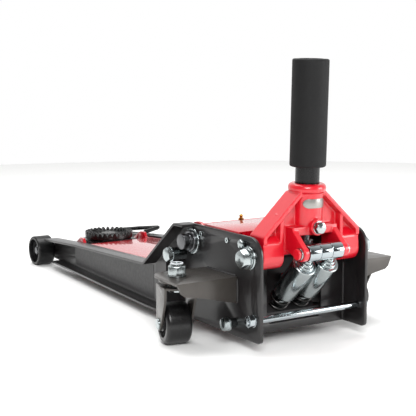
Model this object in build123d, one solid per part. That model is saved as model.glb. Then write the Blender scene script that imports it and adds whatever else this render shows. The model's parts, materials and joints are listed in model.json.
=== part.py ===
"""Low-profile hydraulic trolley jack with a long chassis and a twin-plunger pump.

Millimetres.  X runs across the jack, Y runs from the handle towards the saddle and Z is up.  The
parts are drawn with y = 0 at the rear edge of the side plates and are shifted at the end, so that
the frame's origin is on the floor, under the middle of the whole jack.
"""
from build123d import *
import math
import os

# ---- chassis side plates: a tall flat plate at the rear, a flanged channel in front ----
PLATE_HALF_WIDTH = 104.8      # outer face of a side plate from the centre plane
PLATE_T = 5.0
PLATE_BOTTOM = 16.4
PLATE_TOP = 178.5
PLATE_CORNER_R = 30.0
BEND_Y = 325.0                # the channels turn inwards here
BEND_SLOPE = 0.058
FLANGE_DEPTH = 25.0
FLANGE_T = 4.0
CAP_START_Y = 189.0           # the flange starts on the flat top edge
CAP_END_Y = 218.0
SLOPE_END = (327.0, 94.0)     # foot of the steep edge
CHANNEL_MID = (657.0, 76.0)
CHANNEL_TIP = (834.0, 62.0)
LOWER_FLANGE_Y = (235.0, 790.0)
NOSE_Y = 884.0
NOSE_TOP = 50.0
RIB_Y = 244.0                 # upright rib in the channel, under the steep edge
RIB_T = 4.0
RIB_TOP = 128.0

# ---- front rollers ----
FRONT_AXLE_Y = 866.0
FRONT_WHEEL_R = 32.0
FRONT_WHEEL_IN = 75.5
FRONT_WHEEL_OUT = 113.0
FRONT_AXLE_R = 8.0
FRONT_RECESS_R = 25.5
FRONT_RECESS_DEPTH = 11.0

# ---- casters ----
BRACKET_Y = (63.0, 158.0)
BRACKET_TOP = 111.5
BRACKET_T = 4.0
BRACKET_REACH = 213.0         # outermost edge from the centre plane
KINGPIN_X = 181.0
KINGPIN_Y = 119.0
KINGPIN_R = 8.0
CASTER_WHEEL_R = 33.5
CASTER_WHEEL_W = 42.0
CASTER_TRAIL = 16.0
CASTER_TURN = 13.0            # degrees that the forks stand turned at rest
CASTER_AXLE_R = 6.0
FORK_T = 3.5
FORK_GAP = 1.8                # wheel to fork leg
RACE_R = 29.0
RACE_T = 4.0
BALL_R = 2.5
BALL_COUNT = 12
FORK_TOP = 97.0

# ---- lift arm ----
HUB = (194.0, 150.0)          # pivot of the lift arm (y, z)
HUB_R = 26.0
MAIN_SHAFT_R = 13.0
MAIN_SHAFT_END = 130.0
ARM_GAP = 3.3                 # side plate to arm plate
ARM_T = 6.0
ARM_TOP_DROP = 2.0            # the arm's top lies this far under the chassis flange
ARM_TOP_T = 5.0
SADDLE_PIVOT = (719.0, 52.0)
SADDLE_PIVOT_R = 8.0
ARM_EAR_TOP = 81.0
RAM_PIN_RADIUS = 62.0         # ram pin from the hub
RAM_PIN_ANGLE = -97.0         # degrees from +Y at rest
RAM_PIN_R = 9.0
LUG_T = 9.0
LUG_IN = 32.0
RAM_PIN_REACH = 64.0          # long enough for the return springs' hooks
NIPPLE_X = -10.0
NIPPLE_R = 3.0

# ---- levelling links: a parallelogram with the arm ----
ANCHOR = (226.0, 124.5)
ANCHOR_R = 7.0
LINK_T = 6.0
LINK_GAP = 4.0
LINK_WIDTH = 18.0
LINK_KNEE = (318.0, 58.0)

# ---- saddle ----
SADDLE_R = 50.5
SADDLE_TOP = 88.0
SADDLE_BASE = 71.0
SADDLE_FLOOR = 79.0
SADDLE_TEETH = 30
SADDLE_RIM = 13.0             # width of the toothed rim
SADDLE_STEM_R = 11.0
LINK_PIN_R = 6.0
CARRIER_T = 7.0
CARRIER_HALF = 50.0

# ---- handle yoke ----
YOKE_PIVOT = (28.25, 146.2)
YOKE_BOLT_R = 8.0
YOKE_BUSH_R = 11.0
YOKE_HALF = 93.3
YOKE_LEG_IN = 55.0
YOKE_SHOULDER = 179.8
YOKE_LEG_R = 20.0
YOKE_RIB_T = 6.0              # upright rib in line with the leg's inner face
YOKE_WALL_Y = (22.0, 31.0)
YOKE_WALL_LOW = 146.0
YOKE_SHELF = ((3.0, 26.0), (177.0, 190.0))   # ledge across the socket's foot (y, z)
COLLAR = (24.4, 248.2)        # centre of the socket's collar (y, z)
COLLAR_R = 30.0
COLLAR_H = 15.0
SOCKET_R = 25.5
SOCKET_BOTTOM = 176.0         # floor of the socket that the handle stands in
HANDLE_TILT = 2.16
ROLLER = (-16.2, 152.6)
ROLLER_R = 13.2
ROLLER_HALF = 32.5
ROLLER_PIN_R = 7.0
ROLLER_PIN_HEAD_R = 8.5
EAR_T = 9.5

# ---- handle ----
TUBE_R = 19.05
TUBE_WALL = 2.5
TUBE_LOW = -69.0              # along the handle from the collar's centre
TUBE_STEP = -38.0             # below this the bore is narrower and seats the release drive
TUBE_SEAT_R = 15.5
TUBE_HIGH = 199.0
FOAM_R = 28.5
FOAM_LOW = 33.0
CLAMP_BOLT_Z = 188.5
CLAMP_BOLT_R = 5.0
DRIVE_FORK_R = 12.0            # joint at the foot of the release drive

# ---- pump: two plungers at 45 degrees under the roller ----
PLUNGER_X = 21.6
PLUNGER_AXIS_SUM = 131.5      # y + z on the plunger axis
CAP_R = 19.6
CAP_WALL = 1.8
CAP_RIM = 12.0                # rim of the cap below its button
CAP_STEPS = ((13.6, 8.0), (10.0, 4.0), (6.2, 0.0))   # radius and depth of each step of its face
CAP_LOW = 86.0
PLUNGER_R = 7.0
BARREL_R = 10.5
BARREL_HIGH = 84.0
PLUNGER_END = 116.0
BORE_END = 150.0
SPRING_WIRE_R = 2.4
SPRING_TURNS = 7.5
BLOCK_FACE = 118.0            # sloping face of the block, along the plunger from its button

# ---- hydraulic unit ----
WALL_Y = 55.0
WALL_T = 6.0
WALL_TOP = 152.0
BLOCK_HALF = 46.0
BLOCK_BOTTOM = 28.0
BLOCK_TOP = 128.0
BLOCK_STEP_Y = 92.0
BLOCK_FRONT_Y = 108.0
RAM_Z = 90.0
CYLINDER_R = 27.0
BORE_R = 21.0
CYLINDER_Y = (98.0, 165.0)
PISTON_Y = 101.3              # rear face of the piston, ram in
RESERVOIR_R = 45.0
RESERVOIR_END = 150.0
ROD_R = 14.0
RELEASE_R = 5.0
BLOCK_FACE_DIFFERENCE = ROLLER[0] - ROLLER[1] + math.sqrt(2) * (ROLLER_R + 0.3 + BLOCK_FACE)

# ---- top cover ----
COVER_Y = (66.0, 166.0)
COVER_TOP = 181.0
COVER_T = 2.5

# ---- tie rod, bolts and rivets ----
TIE_ROD = (19.0, 50.0)
TIE_ROD_R = 5.5
TIE_NUT_AF = 17.0
BLOCK_BOLT = (70.0, 37.0)
BLOCK_BOLT_R = 6.0
BLOCK_BOLT_AF = 19.0
BLOCK_BOLT_STAND_OFF = 15.0
COVER_BOLT = (44.8, 165.8)
COVER_BOLT_R = 4.0
COVER_BOLT_AF = 13.0
COVER_RIVETS = [(92.0, 165.0), (170.0, 164.5)]
RIVET_R = 3.0
BOSS_R = 22.0
YOKE_BOSS_R = 18.5
BOSS_T = 4.5
YOKE_HEAD_AF = 25.0
ANCHOR_HEAD_AF = 21.0
ANCHOR_HEAD_X = (131.0, 140.0)
NUT_AF = 27.0

# ---- carry handle and return springs ----
GRIP_Y = (716.0, 822.0)
GRIP_Z = (81.5, 69.0)
GRIP_R = 4.5
GRIP_FOOT = 4.0               # outwards from the channel's web
GRIP_OUT = 48.0
RETURN_SPRING_X = 59.0

# ---- fits ----
RUNNING = 0.05                # radial clearance of a shaft in its bore
FIXED = 0.05                  # radial clearance of a fastener in its hole
FREE = 0.5                    # gap between parts that pass each other
ARM_DEPTH = PLATE_T + ARM_GAP
LINK_DEPTH = ARM_DEPTH + ARM_T + LINK_GAP

# ---- where the drawing frame lies in the part's frame ----
FRONT_END = FRONT_AXLE_Y + FRONT_WHEEL_R
REAR_END = ROLLER[0] - ROLLER_R
FRAME_Y = -(FRONT_END + REAR_END) / 2


# ------------------------------------------------------------------ helpers
def block(x, y, z):
    """Box from three (low, high) pairs."""
    return Pos((x[0] + x[1]) / 2, (y[0] + y[1]) / 2, (z[0] + z[1]) / 2) * Box(
        x[1] - x[0], y[1] - y[0], z[1] - z[0])


def rod_x(yz, radius, x0, x1):
    """Round bar along X through (y, z)."""
    return Pos((x0 + x1) / 2, yz[0], yz[1]) * Rot(0, 90, 0) * Cylinder(radius, abs(x1 - x0))


def rod_y(x, z, radius, y0, y1):
    """Round bar along Y."""
    return Pos(x, (y0 + y1) / 2, z) * Rot(90, 0, 0) * Cylinder(radius, abs(y1 - y0))


def rod_z(x, y, radius, z0, z1):
    """Round bar along Z."""
    return Pos(x, y, (z0 + z1) / 2) * Cylinder(radius, abs(z1 - z0))


def hex_head(across_flats, height):
    """Hexagon on the Z axis from 0 to height, its upper corners turned off at 30 degrees."""
    corner, crown = across_flats / math.sqrt(3) + 0.1, 0.475 * across_flats
    slope = (corner - crown) * math.tan(math.radians(30))
    prism = extrude(RegularPolygon(across_flats / 2, 6, major_radius=False), height)
    turned = up(corner, 0, height - slope) + Pos(0, 0, height - slope / 2) * Cone(corner, crown, slope)
    return prism & turned


def outline(*corners):
    """Closed outline; a corner is (u, v), or (u, v, radius) where it is rounded."""
    face = Polygon(*[c[:2] for c in corners], align=None)
    for corner in corners:
        if len(corner) == 3:
            vertex = face.vertices().sort_by_distance((corner[0], corner[1], 0))[0]
            face = fillet(vertex, corner[2])
    return face


def side_prism(face, x0, x1):
    """Outline drawn in (y, z), extruded along X from x0 to x1."""
    return extrude(Plane.YZ.offset(x0) * face, amount=x1 - x0, dir=(1, 0, 0))


def plan_prism(face, z0, z1):
    """Outline drawn in (x, y), extruded along Z."""
    return extrude(Plane.XY.offset(z0) * face, amount=z1 - z0, dir=(0, 0, 1))


def web_x(y, depth):
    """X of a surface `depth` inside the left side plate's outer face."""
    return -PLATE_HALF_WIDTH + depth + BEND_SLOPE * max(0.0, y - BEND_Y)


def band(depth0, depth1, y0=-60.0, y1=960.0):
    """Tall slab that follows the left side plate in plan, between two depths inside it."""
    stations = [y0, BEND_Y, y1] if y0 < BEND_Y < y1 else [y0, y1]
    there = [(web_x(y, depth0), y) for y in stations]
    back = [(web_x(y, depth1), y) for y in reversed(stations)]
    return plan_prism(outline(*there, *back), -50, 400)


def bent(face, depth0, depth1):
    """Outline drawn in (y, z), cut as a sheet that follows the left side plate's bend."""
    return band(depth0, depth1) & side_prism(face, -300, 0)


def right_of(shape):
    """Mirror image on the jack's right side."""
    return mirror(shape, about=Plane.YZ)


def pair(shape):
    """The left piece and its mirror image, as separate solids."""
    return [shape, right_of(shape)]


def tilted(shape):
    """From the handle's own axis, with zero at the collar's centre, to the jack."""
    return Pos(0, *COLLAR) * Rot(HANDLE_TILT, 0, 0) * shape


def along_plunger(shape, x, start=0.0):
    """From a Z axis pointing down the plunger, with zero at its button, to the jack."""
    half_sum = PLUNGER_AXIS_SUM / 2
    reach = ((ROLLER[0] - half_sum) - (ROLLER[1] - half_sum)) / 2
    root = math.sqrt(0.5)
    y = half_sum + reach + (ROLLER_R + 0.3 + start) * root
    z = half_sum - reach - (ROLLER_R + 0.3 + start) * root
    return Pos(x, y, z) * Rot(-135, 0, 0) * shape


def up(radius, low, high, inner=None):
    """Round bar or tube on the Z axis between two heights."""
    shape = Pos(0, 0, (low + high) / 2) * Cylinder(radius, high - low)
    if inner:
        shape -= Pos(0, 0, (low + high) / 2) * Cylinder(inner, high - low + 1)
    return shape


# ------------------------------------------------------------------ chassis
def side_outline():
    return outline(
        (0, PLATE_BOTTOM, 8), (0, PLATE_TOP, PLATE_CORNER_R), (CAP_END_Y, PLATE_TOP, 8),
        (*SLOPE_END, 14), CHANNEL_MID, (*CHANNEL_TIP, 8), (NOSE_Y, NOSE_TOP, 14),
        (NOSE_Y, PLATE_BOTTOM, 14))


def side_plate():
    """Left side plate: web with its outward flange along the top and the lower edge."""
    whole = side_outline()
    plate = bent(whole, 0, PLATE_T)
    rim = whole - offset(whole, amount=-FLANGE_T, kind=Kind.INTERSECTION)
    top_zone = outline((CAP_START_Y, 55), (CAP_START_Y, 200), (CHANNEL_TIP[0], 200),
                       (CHANNEL_TIP[0], 40), (400, 40), (250, 80))
    low_zone = outline((LOWER_FLANGE_Y[0], 0), (LOWER_FLANGE_Y[1], 0),
                       (LOWER_FLANGE_Y[1], 30), (LOWER_FLANGE_Y[0], 30))
    for zone in (top_zone, low_zone):
        plate += bent(rim & zone, -FLANGE_DEPTH, PLATE_T / 2)
    rib = block((-PLATE_HALF_WIDTH - FLANGE_DEPTH + 1, -PLATE_HALF_WIDTH + 1),
                (RIB_Y, RIB_Y + RIB_T), (PLATE_BOTTOM + FLANGE_T - 1, RIB_TOP))
    plate += rib
    holes = [(YOKE_PIVOT, YOKE_BOLT_R), (HUB, MAIN_SHAFT_R), (ANCHOR, ANCHOR_R),
             (TIE_ROD, TIE_ROD_R), (BLOCK_BOLT, BLOCK_BOLT_R), (COVER_BOLT, COVER_BOLT_R)]
    holes += [(place, RIVET_R) for place in COVER_RIVETS]
    for place, radius in holes:
        plate -= rod_x(place, radius + FIXED, -PLATE_HALF_WIDTH - 5, -PLATE_HALF_WIDTH + 10)
    plate -= rod_x((FRONT_AXLE_Y, FRONT_WHEEL_R), FRONT_AXLE_R + FIXED, -120, -40)
    return plate


def plate_bosses():
    """Round doubler rings welded round the main shaft and the yoke bolts, all four."""
    rings = []
    for place, size, hole in ((HUB, BOSS_R, MAIN_SHAFT_R), (YOKE_PIVOT, YOKE_BOSS_R, YOKE_BOLT_R)):
        ring = rod_x(place, size, -PLATE_HALF_WIDTH - BOSS_T, -PLATE_HALF_WIDTH)
        ring -= rod_x(place, hole + FIXED, -PLATE_HALF_WIDTH - 10, -PLATE_HALF_WIDTH + 5)
        rim = ring.edges().filter_by(GeomType.CIRCLE).group_by(Axis.X)[0].sort_by(SortBy.RADIUS)[-1]
        rings += pair(chamfer(rim, 1))
    return rings


def cross_wall():
    """Welded wall between the side plates, with the window for the pump."""
    half = PLATE_HALF_WIDTH - PLATE_T
    wall = block((-half, half), (WALL_Y, WALL_Y + WALL_T), (PLATE_BOTTOM, WALL_TOP))
    window = extrude(Plane.XZ.offset(-WALL_Y + 5) * outline(
        (-54, 30, 8), (54, 30, 8), (54, WALL_TOP + 10), (-54, WALL_TOP + 10)),
        amount=WALL_T + 10, dir=(0, 1, 0))
    return wall - window


def tie_rod():
    bar = rod_x(TIE_ROD, TIE_ROD_R, -PLATE_HALF_WIDTH - 14, PLATE_HALF_WIDTH + 14)
    return chamfer(bar.edges().filter_by(GeomType.CIRCLE), 1)


def tie_rod_nuts():
    face = -PLATE_HALF_WIDTH
    washer = rod_x(TIE_ROD, 10, face - 1.6, face)
    nut = Pos(face - 1.6, *TIE_ROD) * Rot(0, -90, 0) * hex_head(TIE_NUT_AF, 9)
    both = washer + nut
    return pair(both - rod_x(TIE_ROD, TIE_ROD_R + FIXED, face - 20, face + 5))


def headed_bolt(place, radius, af, head_x, end_x, spacer_r=None, washer_r=None):
    """Hexagon bolt with its head outboard on the left side; x values are distances outwards."""
    under, top = head_x
    head = Pos(-under, *place) * Rot(0, -90, 0) * hex_head(af, top - under)
    bolt = head + rod_x(place, radius, -under - 1, -end_x)
    if washer_r:
        bolt += rod_x(place, washer_r, -under - 0.5, -under + 2.4)
    if spacer_r:
        bolt += rod_x(place, spacer_r, -under, -PLATE_HALF_WIDTH)
    return bolt


def yoke_bolts():
    """Pivot bolts of the handle yoke, flanged heads."""
    under = PLATE_HALF_WIDTH + BOSS_T + 2.4
    return pair(headed_bolt(YOKE_PIVOT, YOKE_BOLT_R, YOKE_HEAD_AF, (under, under + 12.5),
                            YOKE_LEG_IN - 3, washer_r=17))


def anchor_bolts():
    """Shoulder bolts that carry the rear ends of the levelling links."""
    return pair(headed_bolt(ANCHOR, ANCHOR_R, ANCHOR_HEAD_AF, ANCHOR_HEAD_X,
                            PLATE_HALF_WIDTH - LINK_DEPTH - LINK_T - 5, spacer_r=11, washer_r=12.5))


def link_keepers():
    """Snap washers that hold the links on the anchor bolts."""
    inner = -(PLATE_HALF_WIDTH - LINK_DEPTH - LINK_T - 1)
    ring = rod_x(ANCHOR, 11, inner, inner + 2) - rod_x(ANCHOR, ANCHOR_R + FIXED, inner - 5, inner + 5)
    return pair(ring)


def block_bolts():
    """Bolts through the side plates into the pump block, on a spacer."""
    under = PLATE_HALF_WIDTH + BLOCK_BOLT_STAND_OFF
    return pair(headed_bolt(BLOCK_BOLT, BLOCK_BOLT_R, BLOCK_BOLT_AF, (under, under + 8),
                            PLATE_HALF_WIDTH - 26, spacer_r=7.5, washer_r=11))


def cover_bolts():
    under = PLATE_HALF_WIDTH + 2.4
    return pair(headed_bolt(COVER_BOLT, COVER_BOLT_R, COVER_BOLT_AF, (under, under + 6),
                            PLATE_HALF_WIDTH - 10, washer_r=5.9))


def cover_rivets():
    rivets = []
    for place in COVER_RIVETS:
        inner = -PLATE_HALF_WIDTH + PLATE_T + COVER_T + 0.3
        rivet = rod_x(place, RIVET_R, -PLATE_HALF_WIDTH - 1, inner)
        rivet += rod_x(place, 4.6, -PLATE_HALF_WIDTH - 1.8, -PLATE_HALF_WIDTH)
        rivet -= rod_x(place, 1.6, -PLATE_HALF_WIDTH - 5, inner - 3)
        rivets += pair(rivet)
    return rivets


def top_cover():
    """Red cover over the pump, with side flanges riveted inside the side plates."""
    half = PLATE_HALF_WIDTH - PLATE_T - FIXED
    flange_low = 155.0
    skin = block((-half, half), (COVER_Y[0], COVER_Y[1]), (COVER_TOP - COVER_T, COVER_TOP))
    skin += block((-half + 6, half - 6), (COVER_Y[0], COVER_Y[0] + COVER_T), (COVER_TOP - 9, COVER_TOP))
    for x0 in (-half, half - COVER_T):
        side = outline((COVER_BOLT[0] - 9, 158, 6), (COVER_BOLT[0] - 9, 174, 6), (COVER_Y[0], 174),
                       (COVER_Y[0], COVER_TOP - 1), (COVER_Y[1], COVER_TOP - 1), (178, 172, 5),
                       (178, flange_low, 5), (COVER_Y[0], flange_low))
        skin += side_prism(side, x0, x0 + COVER_T)
    for place in [COVER_BOLT] + COVER_RIVETS:
        radius = COVER_BOLT_R if place == COVER_BOLT else RIVET_R
        for x in (-half, half):
            skin -= rod_x(place, radius + FIXED, x - 5, x + 5)
    return skin


# ------------------------------------------------------------------ casters and front rollers
def caster_bracket():
    """Left caster bracket: folded shelf with a deep rear skirt and a nose, welded to the plate."""
    low, high = BRACKET_Y
    wall = -PLATE_HALF_WIDTH
    shelf = plan_prism(outline((wall, low), (wall, high), (-150, high + 4, 20), (-206, high + 3, 24),
                               (-BRACKET_REACH, low, 4)), BRACKET_TOP - BRACKET_T, BRACKET_TOP)
    skirt = Plane.XZ.offset(-low) * outline((wall, BRACKET_TOP), (wall, 69), (-174, 86), (-199, 90),
                                           (-206, 95), (-BRACKET_REACH, BRACKET_TOP))
    shelf += extrude(skirt, amount=BRACKET_T, dir=(0, 1, 0))
    apron = Plane.XZ.offset(-high + BRACKET_T) * outline((wall, BRACKET_TOP), (wall, 84), (-140, 100),
                                                       (-150, BRACKET_TOP))
    shelf += extrude(apron, amount=BRACKET_T, dir=(0, 1, 0))
    return shelf - rod_z(-KINGPIN_X, KINGPIN_Y, KINGPIN_R + FIXED, 80, 130)


def kingpins():
    """Kingpin with its low head under the fork."""
    pin = rod_z(-KINGPIN_X, KINGPIN_Y, KINGPIN_R, FORK_TOP - FORK_T - 3, BRACKET_TOP + 20.5)
    pin = chamfer(pin.edges().filter_by(GeomType.CIRCLE).group_by(Axis.Z)[-1], 1.2)
    pin += rod_z(-KINGPIN_X, KINGPIN_Y, 13, FORK_TOP - FORK_T - 5.5, FORK_TOP - FORK_T - 0.4)
    return pair(pin)


def kingpin_nuts():
    """Lock nuts with their nylon collar and washer."""
    spot = Pos(-KINGPIN_X, KINGPIN_Y, BRACKET_TOP)
    washer = spot * up(14.8, 0, 3)
    nut = spot * Pos(0, 0, 3) * hex_head(NUT_AF, 14)
    collar = up(11.2, 16, 21)
    collar = spot * chamfer(collar.edges().filter_by(GeomType.CIRCLE).group_by(Axis.Z)[-1], 1.5)
    return pair(washer + nut + collar - rod_z(-KINGPIN_X, KINGPIN_Y, KINGPIN_R + FIXED, 100, 150))


def upper_races():
    under = BRACKET_TOP - BRACKET_T
    race = rod_z(-KINGPIN_X, KINGPIN_Y, RACE_R, under - RACE_T, under)
    race = chamfer(race.edges().filter_by(GeomType.CIRCLE).group_by(Axis.Z)[0], 1.2)
    return pair(race - rod_z(-KINGPIN_X, KINGPIN_Y, KINGPIN_R + FIXED, 80, 130))


def race_balls():
    """Two rings of balls between the upper races and the forks."""
    under = BRACKET_TOP - BRACKET_T - RACE_T
    height = (under + FORK_TOP) / 2
    balls = []
    for side in (-1, 1):
        for step in range(BALL_COUNT):
            turn = math.radians(360 / BALL_COUNT * step)
            balls.append(Pos(side * KINGPIN_X + 21 * math.cos(turn),
                             KINGPIN_Y + 21 * math.sin(turn), height) * Sphere(BALL_R))
    return balls


def caster_place(side):
    """From a caster's own frame, kingpin on Z and wheel trailing along +Y, to the jack."""
    return Pos(side * KINGPIN_X, KINGPIN_Y, 0) * Rot(0, 0, side * CASTER_TURN)


def caster_fork():
    """Pressed fork: dished race on top, two tapered legs."""
    half = CASTER_WHEEL_W / 2 + FORK_GAP
    axle = (CASTER_TRAIL, CASTER_WHEEL_R)
    fork = up(RACE_R - 1, FORK_TOP - FORK_T, FORK_TOP)
    crown = plan_prism(outline((-half - FORK_T, -19, 6), (-half - FORK_T, 27, 6),
                               (half + FORK_T, 27, 6), (half + FORK_T, -19, 6)),
                       FORK_TOP - FORK_T, FORK_TOP)
    fork += crown
    leg = outline((-19, FORK_TOP, 2), (27, FORK_TOP, 2), (27, FORK_TOP - 16, 10),
                  (axle[0] + 12.5, axle[1] - 3, 8), (axle[0], axle[1] - 14, 9),
                  (axle[0] - 12, axle[1] - 3, 8), (-17, FORK_TOP - 22, 10))
    for x0 in (-half - FORK_T, half):
        fork += side_prism(leg, x0, x0 + FORK_T)
    fork -= up(KINGPIN_R + RUNNING, 60, 120)
    fork -= rod_x(axle, CASTER_AXLE_R + FIXED, -60, 60)
    return fork


def caster_axle():
    """Riveted axle with domed heads."""
    half = CASTER_WHEEL_W / 2 + FORK_GAP + FORK_T
    axle = (CASTER_TRAIL, CASTER_WHEEL_R)
    pin = rod_x(axle, CASTER_AXLE_R, -half - 1, half + 1)
    for side in (-1, 1):
        head = rod_x(axle, 9, side * half, side * (half + 3))
        edge = head.edges().filter_by(GeomType.CIRCLE).sort_by(Axis.X)[-1 if side > 0 else 0]
        pin += fillet(edge, 2)
    return pin


def caster_wheel():
    """Moulded wheel with rounded tread and a hub that stands proud of the web."""
    axle = (CASTER_TRAIL, CASTER_WHEEL_R)
    half = CASTER_WHEEL_W / 2
    wheel = rod_x(axle, CASTER_WHEEL_R, -half, half)
    wheel = fillet(wheel.edges().filter_by(GeomType.CIRCLE), 7)
    for side in (-1, 1):
        groove = rod_x(axle, 22, side * (half - 6), side * (half + 5))
        wheel -= groove - rod_x(axle, 12, side * (half - 8), side * (half + 5))
    return wheel - rod_x(axle, CASTER_AXLE_R + RUNNING, -half - 5, half + 5)


def front_axle():
    """Axle bar through both channels, grooved for its clips."""
    place = (FRONT_AXLE_Y, FRONT_WHEEL_R)
    end = FRONT_WHEEL_OUT - FRONT_RECESS_DEPTH + 6
    bar = rod_x(place, FRONT_AXLE_R, -end, end)
    bar = chamfer(bar.edges().filter_by(GeomType.CIRCLE), 1)
    for side in (-1, 1):
        clip = side * (FRONT_WHEEL_OUT - FRONT_RECESS_DEPTH + 0.5)
        bar -= rod_x(place, 20, clip, clip + side * 2) - rod_x(place, FRONT_AXLE_R - 1.5, clip,
                                                              clip + side * 2)
    return bar


def axle_clips():
    place = (FRONT_AXLE_Y, FRONT_WHEEL_R)
    clip = -(FRONT_WHEEL_OUT - FRONT_RECESS_DEPTH + 0.7)
    ring = rod_x(place, FRONT_AXLE_R + 4, clip - 1.5, clip) - rod_x(
        place, FRONT_AXLE_R - 1.5 + FIXED, clip - 5, clip + 5)
    ring -= block((clip - 5, clip + 5), (FRONT_AXLE_Y - 4, FRONT_AXLE_Y + 4),
                  (0, FRONT_WHEEL_R - 3))
    return pair(ring)


def front_wheel():
    """Left front roller, hollow on its outer end."""
    place = (FRONT_AXLE_Y, FRONT_WHEEL_R)
    wheel = rod_x(place, FRONT_WHEEL_R, -FRONT_WHEEL_OUT, -FRONT_WHEEL_IN)
    wheel = fillet(wheel.edges().filter_by(GeomType.CIRCLE), 3)
    hollow = rod_x(place, FRONT_RECESS_R, -FRONT_WHEEL_OUT - 5, -FRONT_WHEEL_OUT + FRONT_RECESS_DEPTH)
    hollow = fillet(hollow.edges().filter_by(GeomType.CIRCLE).sort_by(Axis.X)[-1], 2)
    return wheel - hollow - rod_x(place, FRONT_AXLE_R + RUNNING, -130, -60)


# ------------------------------------------------------------------ lift arm
def arm_outline():
    """Side plate of the arm: gooseneck round the anchor bolt, then a long shallow beam."""
    drop = ARM_TOP_DROP
    return outline(
        (HUB[0], HUB[1] + HUB_R + 3), (236, 168, 12), (SLOPE_END[0] + 2, SLOPE_END[1] - drop, 16),
        (CHANNEL_MID[0], CHANNEL_MID[1] - drop - 1), (684, CHANNEL_MID[1] - drop - 3, 3),
        (690, ARM_EAR_TOP, 4), (706, ARM_EAR_TOP, 6),
        (SADDLE_PIVOT[0] + 16, SADDLE_PIVOT[1] + 12, 10), (SADDLE_PIVOT[0] + 15, 34, 12),
        (690, 22, 8), (322, 22, 20), (262, 74, 20), (250, 132, 8), (219, 141), (HUB[0], HUB[1]))


def arm_plate():
    """Left side plate of the lift arm, with the hub eye."""
    plate = bent(arm_outline(), ARM_DEPTH, ARM_DEPTH + ARM_T)
    plate += rod_x(HUB, HUB_R + 5, -PLATE_HALF_WIDTH + ARM_DEPTH,
                   -PLATE_HALF_WIDTH + ARM_DEPTH + ARM_T)
    plate -= rod_x(HUB, HUB_R + FIXED, -120, -60)
    return plate - rod_x(SADDLE_PIVOT, SADDLE_PIVOT_R + FIXED, -120, -30)


def arm_top():
    """Red skin that closes the arm between its side plates."""
    drop = ARM_TOP_DROP
    low = ARM_TOP_T
    ends = (226.0, 662.0)
    face = outline(
        (ends[0], 171.5), (236, 168, 14), (SLOPE_END[0] + 2, SLOPE_END[1] - drop, 18),
        (CHANNEL_MID[0], CHANNEL_MID[1] - drop - 1), (ends[1], CHANNEL_MID[1] - drop - 1),
        (ends[1], CHANNEL_MID[1] - drop - 1 - low), (CHANNEL_MID[0], CHANNEL_MID[1] - drop - 1 - low),
        (SLOPE_END[0], SLOPE_END[1] - drop - low, 13), (233, 162.5, 9), (ends[0], 165))
    half = bent(face, ARM_DEPTH + ARM_T + FIXED, PLATE_HALF_WIDTH + 60)
    half &= block((-200, 0), (0, 900), (0, 300))
    return half + right_of(half)


def arm_hub():
    """Pivot tube of the arm, bored to run on the main shaft."""
    half = PLATE_HALF_WIDTH - ARM_DEPTH
    tube = rod_x(HUB, HUB_R, -half, half) - rod_x(HUB, MAIN_SHAFT_R + RUNNING, -150, 150)
    return tube - rod_z(NIPPLE_X, HUB[0], NIPPLE_R, HUB[1] + 10, HUB[1] + 40)


def ram_pin_place():
    turn = math.radians(RAM_PIN_ANGLE)
    return (HUB[0] + RAM_PIN_RADIUS * math.cos(turn), HUB[1] + RAM_PIN_RADIUS * math.sin(turn))


def ram_lugs():
    """Two lugs welded under the hub, which carry the ram pin."""
    pin = ram_pin_place()
    lug = side_prism(outline((HUB[0] - 20, HUB[1] - 8), (HUB[0] + 20, HUB[1] - 8),
                             (pin[0] + 13, pin[1]), (pin[0] - 13, pin[1])), -LUG_IN - LUG_T, -LUG_IN)
    lug += rod_x(pin, 13.5, -LUG_IN - LUG_T, -LUG_IN)
    lug -= rod_x(HUB, HUB_R + FIXED, -60, 0)
    return pair(lug - rod_x(pin, RAM_PIN_R + FIXED, -60, 0))


def ram_pin():
    pin = rod_x(ram_pin_place(), RAM_PIN_R, -RAM_PIN_REACH, RAM_PIN_REACH)
    return chamfer(pin.edges().filter_by(GeomType.CIRCLE), 1)


def grease_nipple():
    top = HUB[1] + HUB_R
    stem = rod_z(NIPPLE_X, HUB[0], NIPPLE_R - FIXED, top - 6, top + 1)
    stem += rod_z(NIPPLE_X, HUB[0], 4.6, top + 0.1, top + 4)
    stem += rod_z(NIPPLE_X, HUB[0], 2.4, top, top + 7)
    return stem + Pos(NIPPLE_X, HUB[0], top + 7.5) * Sphere(3.2)


def main_shaft():
    bar = rod_x(HUB, MAIN_SHAFT_R, -MAIN_SHAFT_END, MAIN_SHAFT_END)
    bar = chamfer(bar.edges().filter_by(GeomType.CIRCLE), 1)
    for side in (-1, 1):
        groove = side * (MAIN_SHAFT_END - 9)
        bar -= rod_x(HUB, 20, groove, groove - side * 3) - rod_x(
            HUB, MAIN_SHAFT_R - 2.5, groove, groove - side * 3)
    return bar


def shaft_collars():
    """Retaining collars on the main shaft, outside the doubler rings."""
    inner = PLATE_HALF_WIDTH + BOSS_T
    ring = rod_x(HUB, 18, -inner - 5, -inner - 0.2)
    ring = chamfer(ring.edges().filter_by(GeomType.CIRCLE).group_by(Axis.X)[0], 1)
    return pair(ring - rod_x(HUB, MAIN_SHAFT_R + FIXED, -150, 0))


def saddle_pins():
    """Stub pins between the arm's front ends and the saddle carrier."""
    outer = web_x(SADDLE_PIVOT[0], ARM_DEPTH)
    pin = rod_x(SADDLE_PIVOT, SADDLE_PIVOT_R, outer - 0.5, -CARRIER_HALF + CARRIER_T + 2)
    return pair(pin)


# ------------------------------------------------------------------ levelling links and saddle
def link_front():
    """Front pivot of the links: the anchor's place carried along with the saddle pivot."""
    return (SADDLE_PIVOT[0] + ANCHOR[0] - HUB[0], SADDLE_PIVOT[1] + ANCHOR[1] - HUB[1])


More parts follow.
